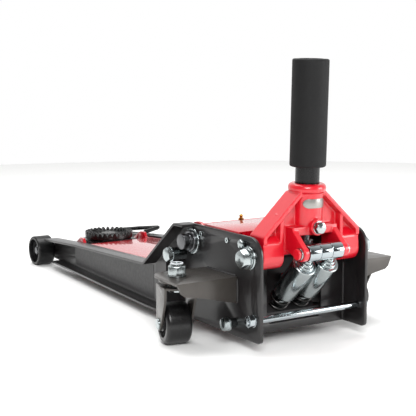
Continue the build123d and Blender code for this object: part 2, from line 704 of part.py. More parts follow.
def link_bar():
    """Left levelling link: flat cranked bar with an eye at each end."""
    front = link_front()
    half = LINK_WIDTH / 2
    centre = [ANCHOR, LINK_KNEE, front]
    body = None
    for start, end in zip(centre, centre[1:]):
        length = math.dist(start, end)
        turn = math.degrees(math.atan2(end[1] - start[1], end[0] - start[0]))
        middle = ((start[0] + end[0]) / 2, (start[1] + end[1]) / 2)
        run = Pos(*middle) * Rot(0, 0, turn) * Rectangle(length, LINK_WIDTH)
        body = run if body is None else body + run
    for place, radius in ((ANCHOR, half + 2), (LINK_KNEE, half), (front, half)):
        body += Pos(*place) * Circle(radius)
    bar = bent(body, LINK_DEPTH, LINK_DEPTH + LINK_T)
    for place, radius in ((ANCHOR, ANCHOR_R), (front, LINK_PIN_R)):
        bar -= rod_x(place, radius + RUNNING, -120, -20)
    return bar


def carrier():
    """Saddle carrier: two cheeks under a table, with the socket for the saddle's stem."""
    front = link_front()
    x, y, z = SADDLE_PIVOT[0], SADDLE_PIVOT[1], SADDLE_BASE - 1
    cheek = outline((x - 13, y - 13, 11), (x - 26, z), (x + 40, z), (front[0] + 11, front[1] + 8, 8),
                    (front[0] + 9, front[1] - 9.5, 8), (front[0] - 8, front[1] - 9.5, 7))
    body = None
    for x0 in (-CARRIER_HALF, CARRIER_HALF - CARRIER_T):
        side = side_prism(cheek, x0, x0 + CARRIER_T)
        body = side if body is None else body + side
    table = plan_prism(outline((-CARRIER_HALF, x - 34, 8), (-CARRIER_HALF, x + 44, 8),
                               (CARRIER_HALF, x + 44, 8), (CARRIER_HALF, x - 34, 8)), z - 6, z)
    body += table + rod_z(0, x, SADDLE_STEM_R + 7, 40, z)
    body += rod_x((x + 24, y - 1), 7, -CARRIER_HALF + 2, -SADDLE_STEM_R)
    body += rod_x((x + 24, y - 1), 7, SADDLE_STEM_R, CARRIER_HALF - 2)
    body += block((-SADDLE_STEM_R - 4, SADDLE_STEM_R + 4), (x + 8, x + 30), (y - 7, y + 6))
    body -= rod_z(0, x, SADDLE_STEM_R + RUNNING, 30, 90)
    for place, radius in ((SADDLE_PIVOT, SADDLE_PIVOT_R + RUNNING), (front, LINK_PIN_R + FIXED)):
        for side in (-1, 1):
            body -= rod_x(place, radius, side * (CARRIER_HALF - CARRIER_T - 5),
                          side * (CARRIER_HALF + 5))
    return body


def link_pins():
    """Pins that the links' front eyes turn on, headed outside."""
    front = link_front()
    outer = web_x(front[0], LINK_DEPTH)
    pin = rod_x(front, LINK_PIN_R, outer - 2.2, -CARRIER_HALF + CARRIER_T + 2)
    pin += rod_x(front, LINK_PIN_R + 2, outer - 3.5, outer - FREE)
    return pair(pin)


def saddle():
    """Round cast saddle: ribbed cup with a crown of teeth, on a plain stem."""
    x, y = 0, SADDLE_PIVOT[0]
    cup = rod_z(x, y, SADDLE_R, SADDLE_BASE, SADDLE_FLOOR + 1)
    cup = chamfer(cup.edges().filter_by(GeomType.CIRCLE).group_by(Axis.Z)[0], 3)
    rim = up(SADDLE_R, SADDLE_FLOOR - 1, SADDLE_TOP, inner=SADDLE_R - SADDLE_RIM)
    middle = SADDLE_R - SADDLE_RIM / 2
    ring = Plane.XZ * Polygon((middle - 2.6, SADDLE_TOP + 0.5), (middle + 2.6, SADDLE_TOP + 0.5),
                              (middle, SADDLE_TOP - 5), align=None)
    rim -= revolve(ring, axis=Axis.Z)
    for step in range(SADDLE_TEETH):
        rim -= Rot(0, 0, 360 / SADDLE_TEETH * step) * notch()
    cup += Pos(x, y, 0) * rim
    cup += rod_z(x, y, 16, SADDLE_FLOOR, SADDLE_FLOOR + 4)
    return cup + rod_z(x, y, SADDLE_STEM_R, 42, SADDLE_BASE + 1)


def notch():
    """Radial V groove between two teeth of the saddle."""
    depth = SADDLE_TOP - SADDLE_FLOOR - 1.5
    half = 0.36 * math.tau * SADDLE_R / SADDLE_TEETH
    wedge = Plane.YZ.offset(SADDLE_R - SADDLE_RIM - 2) * Polygon(
        (0, SADDLE_TOP - depth), (-half, SADDLE_TOP + 1), (half, SADDLE_TOP + 1), align=None)
    return extrude(wedge, amount=SADDLE_RIM + 5, dir=(1, 0, 0))


def stem_clip():
    """Clip under the socket that keeps the saddle in."""
    spot = Pos(0, SADDLE_PIVOT[0], 0)
    return spot * up(SADDLE_STEM_R + 3, 36, 39.7) - spot * up(3 + FIXED, 30, 45)


def stem_screw():
    return Pos(0, SADDLE_PIVOT[0], 0) * (up(3, 34, 41.9) + up(6.5, 31.5, 36))


# ------------------------------------------------------------------ handle yoke
def yoke():
    """Cast yoke: two legs on the pivot bolts, sloping wings, socket and roller ears."""
    half, top = YOKE_HALF, YOKE_SHOULDER
    outer = outline((-half, 141), (-half, top, 5), (-25, 243, 6), (25, 243, 6), (half, top, 5),
                    (half, 141))
    inner = offset(outer, amount=-7, kind=Kind.INTERSECTION)
    wings = (outer - inner) & Rectangle(300, 300).moved(Location((0, 168 + 150)))
    body = extrude(Plane.XZ.offset(-8) * wings, amount=38, dir=(0, 1, 0))
    wall = outer & Rectangle(300, 300).moved(Location((0, YOKE_WALL_LOW + 150)))
    wall -= outline((-34, 120), (-34, 178, 7), (34, 178, 7), (34, 120))
    back, front = YOKE_WALL_Y
    body += extrude(Plane.XZ.offset(-back) * wall, amount=front - back, dir=(0, 1, 0))
    ear_out = ROLLER_HALF + 1 + EAR_T
    body += block((-ear_out, ear_out), *YOKE_SHELF)
    for side in (-1, 1):
        x0, x1 = sorted((side * YOKE_LEG_IN, side * half))
        leg = side_prism(outline((10, top - 12, 5), (back, top - 1), (46, top - 1),
                                 (YOKE_PIVOT[0] + YOKE_LEG_R, YOKE_PIVOT[1]),
                                 (YOKE_PIVOT[0] - YOKE_LEG_R, YOKE_PIVOT[1])), x0, x1)
        body += leg + rod_x(YOKE_PIVOT, YOKE_LEG_R, x0, x1)
        x0, x1 = sorted((side * (ROLLER_HALF + 1), side * ear_out))
        ear = side_prism(outline((28, 190), (6, 188, 8), (ROLLER[0] - 12, ROLLER[1] + 4, 6),
                                 (ROLLER[0] - 9, ROLLER[1] - 9, 8), (ROLLER[0] + 8, ROLLER[1] - 10, 8),
                                 (28, 156)), x0, x1)
        body += ear + rod_x(ROLLER, 12, x0, x1)
        x0, x1 = sorted((side * YOKE_LEG_IN, side * (YOKE_LEG_IN + YOKE_RIB_T)))
        body += side_prism(outline((24, 212), (10, 207), (10, 160), (24, 160)), x0, x1)
    body += tilted(up(SOCKET_R, -80, 1)) & block((-60, 60), (-60, 100), (SOCKET_BOTTOM, 260))
    collar = up(COLLAR_R, -COLLAR_H / 2, COLLAR_H / 2)
    body += tilted(fillet(collar.edges().filter_by(GeomType.CIRCLE), COLLAR_H / 2 - 0.6))
    body += rod_y(0, CLAMP_BOLT_Z, 13, -5, 20)
    body -= tilted(up(TUBE_R + RUNNING + 0.05, TUBE_LOW - 0.6, 40))
    body -= tilted(up(TUBE_R - 2, -120, 40))
    body -= rod_y(0, CLAMP_BOLT_Z, CLAMP_BOLT_R + FIXED, -20, 12)
    for side in (-1, 1):
        body -= rod_x(YOKE_PIVOT, YOKE_BUSH_R + FIXED, side * (YOKE_LEG_IN - 5), side * (half + 5))
    return body - rod_x(ROLLER, ROLLER_PIN_R + FIXED, -80, 80)


def yoke_bushes():
    """Flanged bushes between the yoke's legs and the pivot bolts."""
    bush = rod_x(YOKE_PIVOT, YOKE_BUSH_R, -YOKE_HALF, -YOKE_LEG_IN)
    bush += rod_x(YOKE_PIVOT, YOKE_BUSH_R + 4, -YOKE_HALF - 2.5, -YOKE_HALF - 0.1)
    return pair(bush - rod_x(YOKE_PIVOT, YOKE_BOLT_R + RUNNING, -120, -40))


def roller_pin():
    half = ROLLER_HALF + 1 + EAR_T + 8
    pin = rod_x(ROLLER, ROLLER_PIN_R, -half, half) + rod_x(ROLLER, ROLLER_PIN_HEAD_R, -half, 3.8 - half)
    ends = pin.edges().filter_by(GeomType.CIRCLE).group_by(Axis.X)
    return chamfer([ends[0], ends[-1]], 0.8)


def roller_pin_rings():
    """Snap rings on the roller pin, outside the ears."""
    face = -(ROLLER_HALF + 1 + EAR_T)
    ring = rod_x(ROLLER, 9.5, face - 3.2, face - 0.2)
    return pair(ring - rod_x(ROLLER, ROLLER_PIN_R + FIXED, -80, -20))


def pump_rollers():
    """Three loose chromed sleeves on the roller pin."""
    width = (2 * ROLLER_HALF - 2 * 0.6) / 3
    sleeves = []
    for step in range(3):
        x0 = -ROLLER_HALF + step * (width + 0.6)
        sleeve = rod_x(ROLLER, ROLLER_R, x0, x0 + width)
        sleeve = fillet(sleeve.edges().filter_by(GeomType.CIRCLE), 0.8)
        sleeves.append(sleeve - rod_x(ROLLER, ROLLER_PIN_R + RUNNING, x0 - 5, x0 + width + 5))
    return sleeves


def name_plate():
    """Blank stadium-shaped plate that wraps the socket."""
    shell = up(SOCKET_R + 0.8, -34, -6, inner=SOCKET_R + 0.05)
    badge = Plane.XZ * (Pos(0, -22) * SlotOverall(40, 14.5))
    return tilted(shell & extrude(badge, amount=60, dir=(0, -1, 0)))


def clamp_bolt():
    """Bolt whose tip runs in the handle's groove and keeps the handle in the socket."""
    head = Pos(0, -6, CLAMP_BOLT_Z) * Rot(90, 0, 0) * hex_head(17.0, 7.5)
    return head + rod_y(0, CLAMP_BOLT_Z, 10, -6, -5.05) + rod_y(0, CLAMP_BOLT_Z, CLAMP_BOLT_R, -6, 8.4)


# ------------------------------------------------------------------ handle
def handle_tube():
    """Lower handle section: open tube with a groove for the clamp bolt."""
    tube = up(TUBE_R, TUBE_LOW, TUBE_HIGH, inner=TUBE_SEAT_R)
    tube -= up(TUBE_R - TUBE_WALL, TUBE_STEP, TUBE_HIGH + 1)
    groove = CLAMP_BOLT_Z - COLLAR[1]
    tube -= up(TUBE_R + 3, groove - 6, groove + 6, inner=TUBE_R - 1.3)
    return tilted(tube)


def foam_grip():
    """Foam sleeve that keeps the handle off the car's paint."""
    foam = up(FOAM_R, FOAM_LOW, TUBE_HIGH - 0.5, inner=TUBE_R + FIXED)
    outer = foam.edges().filter_by(GeomType.CIRCLE).filter_by(lambda e: e.radius > FOAM_R - 0.1)
    return tilted(fillet(outer, 2))


def joint_fork(turn):
    """Half of the universal joint on the Z axis, its centre at zero and its shaft above."""
    crown = up(DRIVE_FORK_R, 14.5, 19)
    for side in (-1, 1):
        tine = block(sorted((side * 8.2, side * DRIVE_FORK_R)), (-4, 4), (-3.5, 15))
        crown += tine & up(DRIVE_FORK_R, -10, 20)
    return Rot(0, 0, turn) * crown


def release_drive():
    """Shaft that turns with the handle, down to the universal joint on the yoke's pivot line."""
    centre = (YOKE_PIVOT[1] - COLLAR[1]) / math.cos(math.radians(HANDLE_TILT))
    high = TUBE_STEP - 2
    shaft = up(7, centre + 18, high) + up(TUBE_SEAT_R - FIXED, high - 10, high)
    return tilted(shaft + Pos(0, 0, centre) * joint_fork(90))


def release_valve():
    """Release spindle, with its half of the universal joint and the joint's cross."""
    length = (BLOCK_STEP_Y + 2 - YOKE_PIVOT[0]) * math.sqrt(2)
    spindle = up(RELEASE_R, 18, length) + joint_fork(0)
    spindle += Sphere(5.5) + Rot(0, 90, 0) * Cylinder(2.4, 18)
    return Pos(0, *YOKE_PIVOT) * Rot(-135, 0, 0) * spindle


def release_gland():
    """Gland nut of the release spindle on the pump block."""
    reach = (BLOCK_STEP_Y - YOKE_PIVOT[0]) * math.sqrt(2)
    nut = Pos(0, 0, reach - 11) * Rot(180, 0, 0) * hex_head(19.0, 9)
    nut += up(7.5, reach - 11.5, reach + 1)
    return Pos(0, *YOKE_PIVOT) * Rot(-135, 0, 0) * (nut - up(RELEASE_R + RUNNING, 0, reach + 9))


# ------------------------------------------------------------------ pump
def plunger_cap(side):
    """Pressed zinc cap: stepped face for the roller, skirt over the spring."""
    cap = up(CAP_R, CAP_RIM, CAP_LOW)
    cap = fillet(cap.edges().filter_by(GeomType.CIRCLE).group_by(Axis.Z)[0], 2)
    cap -= up(CAP_R - CAP_WALL, CAP_RIM + 3, CAP_LOW + 5)
    for radius, low in CAP_STEPS:
        step = up(radius, low, CAP_RIM + 2)
        cap += chamfer(step.edges().filter_by(GeomType.CIRCLE).group_by(Axis.Z)[0], 0.8)
    return along_plunger(cap, side * PLUNGER_X)


def plunger_rod(side):
    rod = up(PLUNGER_R, CAP_RIM + 3.05, PLUNGER_END)
    return along_plunger(rod, side * PLUNGER_X)


def plunger_spring(side):
    """Return spring between the cap and the block."""
    low, high = CAP_RIM + 3 + SPRING_WIRE_R + 0.3, BLOCK_FACE - SPRING_WIRE_R - 0.4
    radius = CAP_R - CAP_WALL - SPRING_WIRE_R - 0.4
    path = Helix(pitch=(high - low) / SPRING_TURNS, height=high - low, radius=radius)
    section = Plane(origin=path @ 0, z_dir=path % 0) * Circle(SPRING_WIRE_R)
    return along_plunger(Pos(0, 0, low) * sweep(section, path=path), side * PLUNGER_X)


def pump_barrels():
    """Two barrels screwed into the block, each with a wiper seat."""
    barrels = []
    for side in (-1, 1):
        barrel = up(BARREL_R, BARREL_HIGH, BLOCK_FACE + 10, inner=PLUNGER_R + RUNNING)
        barrels.append(along_plunger(barrel, side * PLUNGER_X))
    return barrels


def pump_block():
    """Cast pump block with its cross beam to the side plates."""
    face = BLOCK_FACE_DIFFERENCE
    wall = WALL_Y + WALL_T + 0.2
    body = side_prism(outline((wall, BLOCK_BOTTOM), (wall, wall - face), (BLOCK_STEP_Y, BLOCK_STEP_Y - face),
                              (BLOCK_STEP_Y, BLOCK_TOP, 4), (BLOCK_FRONT_Y, BLOCK_TOP),
                              (BLOCK_FRONT_Y, BLOCK_BOTTOM)), -BLOCK_HALF, BLOCK_HALF)
    beam_half = PLATE_HALF_WIDTH - PLATE_T - 0.2
    body += block((-beam_half, beam_half), (wall, wall + 22), (BLOCK_BOTTOM, 46))
    body -= rod_y(0, RAM_Z, CYLINDER_R + FIXED, CYLINDER_Y[0], 200)
    for side in (-1, 1):
        body -= along_plunger(up(BARREL_R + FIXED, 90, BLOCK_FACE + 10), side * PLUNGER_X)
        body -= along_plunger(up(PLUNGER_R + 0.4, 90, BORE_END), side * PLUNGER_X)
        body -= rod_x(BLOCK_BOLT, BLOCK_BOLT_R + FIXED, side * (beam_half - 24), side * 120)
    reach = (BLOCK_STEP_Y - YOKE_PIVOT[0]) * math.sqrt(2)
    valve = Pos(0, *YOKE_PIVOT) * Rot(-135, 0, 0) * (up(7.5 + FIXED, 40, reach + 1.2)
                                                    + up(RELEASE_R + 0.3, 40, reach + 3.2))
    return body - valve


def cylinder():
    """Ram cylinder with its front gland bore."""
    tube = rod_y(0, RAM_Z, CYLINDER_R, CYLINDER_Y[0] + 0.2, CYLINDER_Y[1])
    tube -= rod_y(0, RAM_Z, BORE_R, CYLINDER_Y[0] + 3, CYLINDER_Y[1] - 5)
    return tube - rod_y(0, RAM_Z, ROD_R + RUNNING, CYLINDER_Y[0] + 20, CYLINDER_Y[1] + 20)


def reservoir():
    """Oil tank: shell round the cylinder, closed in front."""
    start = BLOCK_FRONT_Y + 0.1
    shell = rod_y(0, RAM_Z, RESERVOIR_R, start, RESERVOIR_END)
    shell -= rod_y(0, RAM_Z, RESERVOIR_R - 3, start - 10, RESERVOIR_END - 4)
    shell -= rod_y(0, RAM_Z, CYLINDER_R + FIXED, start - 10, RESERVOIR_END + 10)
    return shell - rod_z(0, 128, 6 + FIXED, RAM_Z + 30, RAM_Z + 60)


def filler_plug():
    plug = rod_z(0, 128, 6, RAM_Z + RESERVOIR_R - 8, RAM_Z + RESERVOIR_R)
    return plug + rod_z(0, 128, 9, RAM_Z + RESERVOIR_R + 0.2, RAM_Z + RESERVOIR_R + 5)


def push_face():
    """Y of the flat face that drives the ram pin."""
    return ram_pin_place()[0] - RAM_PIN_R - 0.3


def ram():
    """Piston and rod."""
    piston = rod_y(0, RAM_Z, BORE_R - RUNNING, PISTON_Y, PISTON_Y + 8)
    piston -= rod_y(0, RAM_Z, 40, PISTON_Y + 2.5, PISTON_Y + 5.5) - rod_y(
        0, RAM_Z, BORE_R - 2, PISTON_Y + 2.5, PISTON_Y + 5.5)
    return piston + rod_y(0, RAM_Z, ROD_R, PISTON_Y + 7, push_face() - 5)


def piston_seal():
    ring = rod_y(0, RAM_Z, BORE_R - RUNNING, PISTON_Y + 2.7, PISTON_Y + 5.3)
    return ring - rod_y(0, RAM_Z, BORE_R - 2 + FIXED, PISTON_Y, PISTON_Y + 10)


def ram_head():
    """Push head on the rod; its flat face drives the ram pin."""
    face = push_face()
    head = block((-26, 26), (face - 9, face), (RAM_Z - 16, RAM_Z + 28))
    head = chamfer(head.edges().filter_by(Axis.Y), 3)
    return head - rod_y(0, RAM_Z, ROD_R + FIXED, face - 20, face - 4.9)


# ------------------------------------------------------------------ trim
def side_labels():
    """Plain dark panels on the outer faces of both channels."""
    zone = outline((332, 24), (332, 86), (CHANNEL_MID[0], 68), (712, 63), (712, 24))
    return pair(bent(zone, -0.5, -0.05))


def flange_top(y):
    """Height of the channel's upper face near its front end."""
    share = (y - CHANNEL_MID[0]) / (CHANNEL_TIP[0] - CHANNEL_MID[0])
    return CHANNEL_MID[1] + share * (CHANNEL_TIP[1] - CHANNEL_MID[1])


def carry_handle():
    """Round bar handle welded on the right channel's flange."""
    y0, y1 = GRIP_Y
    z0, z1 = GRIP_Z
    near, far = GRIP_FOOT, GRIP_OUT
    rest = GRIP_R + 0.6
    points = [(near, y0, flange_top(y0) + rest), (far, y0 + 12, z0), (far, y1 - 10, z1),
              (near, y1, flange_top(y1) + rest)]
    route = [(-web_x(y, 0) + x, y, z) for x, y, z in points]
    path = FilletPolyline(*route, radius=2.5 * GRIP_R)
    section = Plane(origin=path @ 0, z_dir=path % 0) * Circle(GRIP_R)
    return sweep(section, path=path)


def return_springs():
    """Tension springs that pull the arm down, hooked between the cross wall and the ram pin."""
    springs = []
    start, end = WALL_Y + WALL_T + 0.5, ram_pin_place()[0] - RAM_PIN_R - 3
    for side in (-1, 1):
        path = Helix(pitch=4.4, height=end - start - 4, radius=6.5)
        section = Plane(origin=path @ 0, z_dir=path % 0) * Circle(1.4)
        coil = Rot(-90, 0, 0) * sweep(section, path=path)
        springs.append(Pos(side * RETURN_SPRING_X, start + 2, RAM_Z) * coil)
    return springs


# ------------------------------------------------------------------ the whole jack
def all_nodes():
    """Every sub-part by node name, in the drawing frame."""
    left_plate = side_plate()
    left_wheel = front_wheel()
    nodes = {
        "side_plate_left": left_plate,
        "side_plate_right": right_of(left_plate),
        "plate_bosses": plate_bosses(),
        "cross_wall": cross_wall(),
        "tie_rod": [tie_rod(), *tie_rod_nuts()],
        "yoke_pivot_bolts": yoke_bolts(),
        "link_anchor_bolts": [*anchor_bolts(), *link_keepers()],
        "pump_block_bolts": block_bolts(),
        "cover_fasteners": [*cover_bolts(), *cover_rivets()],
        "top_cover": top_cover(),
        "caster_brackets": pair(caster_bracket()),
        "caster_kingpins": kingpins(),
        "caster_nuts": kingpin_nuts(),
        "caster_bearings": [*upper_races(), *race_balls()],
        "front_axle": [front_axle(), *axle_clips()],
        "front_wheel_left": left_wheel,
        "front_wheel_right": right_of(left_wheel),
        "main_shaft": [main_shaft(), *shaft_collars()],
        "arm_side_plates": pair(arm_plate()),
        "arm_top_plate": arm_top(),
        "arm_hub_tube": arm_hub(),
        "ram_lugs": ram_lugs(),
        "ram_pin": ram_pin(),
        "grease_nipple": grease_nipple(),
        "saddle_pivot_pins": saddle_pins(),
        "link_bars": pair(link_bar()),
        "saddle_carrier": carrier(),
        "link_front_pins": link_pins(),
        "saddle": saddle(),
        "saddle_stem_screw": [stem_screw(), stem_clip()],
        "handle_yoke": yoke(),
        "yoke_bushes": yoke_bushes(),
        "roller_pin": roller_pin(),
        "roller_pin_rings": roller_pin_rings(),
        "pump_rollers": pump_rollers(),
        "name_plate": name_plate(),
        "handle_clamp_bolt": clamp_bolt(),
        "handle_tube": handle_tube(),
        "foam_grip": foam_grip(),
        "release_drive": release_drive(),
        "release_valve": release_valve(),
        "pump_barrels": [*pump_barrels(), release_gland()],
        "pump_block": pump_block(),
        "plunger_springs": [plunger_spring(-1), plunger_spring(1)],
        "ram_cylinder": cylinder(),
        "oil_reservoir": [reservoir(), filler_plug()],
        "ram_piston_rod": [ram(), piston_seal()],
        "ram_push_head": ram_head(),
        "side_labels": side_labels(),
        "carry_handle": carry_handle(),
        "return_springs": return_springs(),
    }
    for name, side in (("left", -1), ("right", 1)):
        place = caster_place(side)
        nodes["caster_fork_" + name] = place * caster_fork()
        nodes["caster_axle_" + name] = place * caster_axle()
        nodes["caster_wheel_" + name] = place * caster_wheel()
        nodes["pump_plunger_" + name] = [plunger_cap(side), plunger_rod(side)]
    return nodes


def export_all():
    """Write one STEP file per node, in the part's own frame."""
    os.makedirs("parts", exist_ok=True)
    for name, shape in all_nodes().items():
        solids = shape if isinstance(shape, list) else [shape]
        placed = [Pos(0, FRAME_Y, 0) * solid for solid in solids]
        whole = placed[0] if len(placed) == 1 else Compound(children=placed)
        export_step(whole, os.path.join("parts", name + ".step"))


if __name__ == "__main__":
    export_all()
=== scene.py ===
"""Low hydraulic trolley jack: the visual model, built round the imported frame.

Lengths in the classes are millimetres, and mm() turns them into Blender's metres; the studio alone is
set out in metres.  X runs across the jack, Y from the handle towards the saddle, Z is up, and the origin
is on the floor under its middle.
"""

import json
import logging
import math
from contextlib import contextmanager
from dataclasses import dataclass
from enum import Enum
from typing import Iterator, Optional

import bpy
from mathutils import Matrix, Vector


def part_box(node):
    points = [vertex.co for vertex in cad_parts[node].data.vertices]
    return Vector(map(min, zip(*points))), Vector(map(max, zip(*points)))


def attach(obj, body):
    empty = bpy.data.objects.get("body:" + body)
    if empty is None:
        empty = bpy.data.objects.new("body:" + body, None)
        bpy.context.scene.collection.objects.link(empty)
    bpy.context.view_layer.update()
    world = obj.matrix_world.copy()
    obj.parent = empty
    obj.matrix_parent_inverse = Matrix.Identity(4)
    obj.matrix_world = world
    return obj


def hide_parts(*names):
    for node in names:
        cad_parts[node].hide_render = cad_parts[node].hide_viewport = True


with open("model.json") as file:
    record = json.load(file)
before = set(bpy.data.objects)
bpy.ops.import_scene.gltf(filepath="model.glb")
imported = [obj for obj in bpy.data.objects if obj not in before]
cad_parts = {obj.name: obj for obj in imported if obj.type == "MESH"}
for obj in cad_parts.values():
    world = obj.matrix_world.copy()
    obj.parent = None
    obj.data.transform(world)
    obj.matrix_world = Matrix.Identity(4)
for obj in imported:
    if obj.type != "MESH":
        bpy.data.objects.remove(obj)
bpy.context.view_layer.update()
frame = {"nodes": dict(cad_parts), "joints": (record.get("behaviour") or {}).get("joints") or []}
LOG = logging.getLogger("trolley_jack")


# ------------------------------------------------------------------ units and colours
def mm(length: float) -> float:
    """Millimetres as metres."""
    return length / 1000.0


def per_metre(size_mm: float) -> float:
    """Texture scale that draws one feature for each size_mm of surface."""
    return 1000.0 / size_mm


def srgb(code: str) -> tuple[float, float, float, float]:
    """Linear colour of an sRGB hex code.

    Args:
        code: six hexadecimal digits, with or without a leading #.

    Returns:
        Red, green, blue and alpha, linear.
    """
    digits = code.lstrip("#")
    parts = [int(digits[i:i + 2], 16) / 255 for i in (0, 2, 4)]
    linear = [c / 12.92 if c <= 0.04045 else ((c + 0.055) / 1.055) ** 2.4 for c in parts]
    return (*linear, 1.0)


# ------------------------------------------------------------------ finishes
def add_node(tree: bpy.types.NodeTree, kind: str, inputs: Optional[dict] = None,
             **settings: object) -> bpy.types.Node:
    """Add a shader node with its settings and links.

    Args:
        tree: node tree that gets the node.
        kind: the node's type name.
        inputs: socket name or index to a value, or to another node's output socket.
        **settings: attributes of the node.

    Returns:
        The new node.
    """
    node = tree.nodes.new(kind)
    for name, value in settings.items():
        setattr(node, name, value)
    for key, value in (inputs or {}).items():
        if isinstance(value, bpy.types.NodeSocket):
            tree.links.new(value, node.inputs[key])
        else:
            node.inputs[key].default_value = value
    return node


class Slot(Enum):
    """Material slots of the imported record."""
    FRAME = "frame_black"
    BRACKET = "bracket_black"
    RED = "red_enamel"
    ZINC = "zinc"
    CHROME = "chrome"
    STEEL = "bare_steel"
    SPRING = "spring_black"
    CAST_BLACK = "cast_black"
    CAST_GREY = "cast_grey"
    TUBE = "tube_black"
    FOAM = "foam_black"
    WHEEL = "wheel_black"
    FRONT_WHEEL = "front_wheel_black"
    BRONZE = "bronze"
    BRASS = "brass"
    PLATE = "plate_silver"


@dataclass(frozen=True)
class Finish:
    """A surface: one colour drifting into another, with a grain in its gloss and relief.

    The drift is what handling, dust and uneven spraying leave; the grain is how the surface was made.
    """
    name: str
    colour: str
    drift_colour: str
    roughness: float
    drift_mm: float = 60.0
    grain_mm: float = 1.5
    grain_depth_mm: float = 0.02
    gloss_spread: float = 0.06
    metallic: float = 0.0
    stretch: tuple[float, float, float] = (1.0, 1.0, 1.0)
    coat: float = 0.0
    coat_roughness: float = 0.05
    specular: float = 0.5
    cells: bool = False

    def material(self) -> bpy.types.Material:
        """The finish as a material, made once and shared."""
        return bpy.data.materials.get(self.name) or self._build()

    def _build(self) -> bpy.types.Material:
        """Make the material's nodes."""
        made = bpy.data.materials.new(self.name)
        made.use_nodes = True
        tree = made.node_tree
        tree.nodes.clear()
        where = add_node(tree, "ShaderNodeTexCoord").outputs["Object"]
        drift = add_node(tree, "ShaderNodeTexNoise",
                         {"Vector": where, "Scale": per_metre(self.drift_mm), "Detail": 4.0})
        colour = add_node(tree, "ShaderNodeMix", data_type="RGBA", inputs={
            "Factor": drift.outputs["Fac"], 6: srgb(self.colour), 7: srgb(self.drift_colour)})
        drawn = add_node(tree, "ShaderNodeMapping", {"Vector": where, "Scale": self.stretch})
        if self.cells:
            grain = add_node(tree, "ShaderNodeTexVoronoi", {
                "Vector": drawn.outputs["Vector"], "Scale": per_metre(self.grain_mm)}).outputs["Distance"]
        else:
            grain = add_node(tree, "ShaderNodeTexNoise", {
                "Vector": drawn.outputs["Vector"], "Scale": per_metre(self.grain_mm),
                "Detail": 3.0}).outputs["Fac"]
        gloss = add_node(tree, "ShaderNodeMapRange", {
            "Value": grain, "From Min": 0.25, "From Max": 0.75,
            "To Min": max(0.02, self.roughness - self.gloss_spread),
            "To Max": min(1.0, self.roughness + self.gloss_spread)})
        relief = add_node(tree, "ShaderNodeBump", {
            "Height": grain, "Distance": mm(self.grain_depth_mm), "Strength": 1.0})
        skin = add_node(tree, "ShaderNodeBsdfPrincipled", {
            "Base Color": colour.outputs[2], "Roughness": gloss.outputs["Result"],
            "Normal": relief.outputs["Normal"], "Metallic": self.metallic,
            "Coat Weight": self.coat, "Coat Roughness": self.coat_roughness,
            "Specular IOR Level": self.specular})
        add_node(tree, "ShaderNodeOutputMaterial", {"Surface": skin.outputs["BSDF"]})
        return made


# Powder coat baked on sheet steel: satin, with a fine orange peel that breaks up reflections.
POWDER_COAT = Finish("satin_black_powder_coat", "#110f10", "#181516", 0.34, grain_mm=2.2,
                     grain_depth_mm=0.04, coat=0.2, coat_roughness=0.15)
# Hammer-textured coat on the caster irons: warmer, rougher and coarser than the powder coat.
HAMMER_COAT = Finish("rough_black_hammer_coat", "#3a3633", "#4a4642", 0.36, drift_mm=25, grain_mm=1.6,
                     grain_depth_mm=0.12, gloss_spread=0.1, metallic=0.35, coat=0.3, coat_roughness=0.16)
# Two-pack enamel sprayed on folded plate: deep red, wet gloss, faint peel.
SHEET_ENAMEL = Finish("red_gloss_enamel_on_plate", "#ab0114", "#b5031a", 0.3, drift_mm=140,
                      grain_mm=5.0, grain_depth_mm=0.03, coat=1.0, coat_roughness=0.05)
# The same enamel over a sand casting, so that the sand's roughness shows through.
CAST_ENAMEL = Finish("red_gloss_enamel_on_casting", "#c2021a", "#cd0820", 0.35, drift_mm=40,
                     grain_mm=3.2, grain_depth_mm=0.07, coat=0.7, coat_roughness=0.08)
# Bright zinc plate with a clear passivate: pale, slightly blue and faintly cloudy.
BRIGHT_ZINC = Finish("bright_zinc_plate", "#b9c0c0", "#a0a8aa", 0.2, drift_mm=9, grain_mm=1.2,
                     grain_depth_mm=0.012, gloss_spread=0.08, metallic=1.0)
# Hard chrome, ground and polished.
HARD_CHROME = Finish("polished_hard_chrome", "#b4bbbe", "#a3abaf", 0.12, grain_mm=1.0,
                     grain_depth_mm=0.002, gloss_spread=0.03, metallic=1.0)
# Turned steel with a film of oil: grey, with fine marks round the bar.
TURNED_STEEL = Finish("oiled_turned_steel", "#77787a", "#626365", 0.3, drift_mm=14, grain_mm=0.9,
                      grain_depth_mm=0.02, metallic=1.0, stretch=(3.0, 1.0, 1.0))
# Oil-blackened spring wire, polished where the tool rubbed it.
SPRING_WIRE = Finish("blackened_spring_steel", "#4a4948", "#2c2b2b", 0.2, drift_mm=3, grain_mm=0.8,
                     grain_depth_mm=0.01, metallic=0.9)
# Black-painted grey iron from a sand mould, coarse and dull.
BLACK_IRON = Finish("black_painted_cast_iron", "#060606", "#0d0c0c", 0.3, drift_mm=20, grain_mm=1.3,
                    grain_depth_mm=0.12, gloss_spread=0.1)
# Bare grey iron.
GREY_IRON = Finish("sand_cast_grey_iron", "#2e2d2e", "#3a393a", 0.5, drift_mm=18, grain_mm=1.4,
                   grain_depth_mm=0.2, metallic=0.6)
# Satin stove enamel on the drawn handle tube.
TUBE_PAINT = Finish("satin_black_tube_enamel", "#060607", "#0a0a0b", 0.3, grain_mm=2.5,
                    grain_depth_mm=0.02, specular=0.3)
# Closed-cell rubber foam, extruded: dull, with cells drawn coarser than the real 0.3 mm so they show.
CELL_FOAM = Finish("closed_cell_black_foam", "#0a0a0b", "#101011", 0.7, drift_mm=30, grain_mm=1.1,
                   grain_depth_mm=0.08, specular=0.35, cells=True)
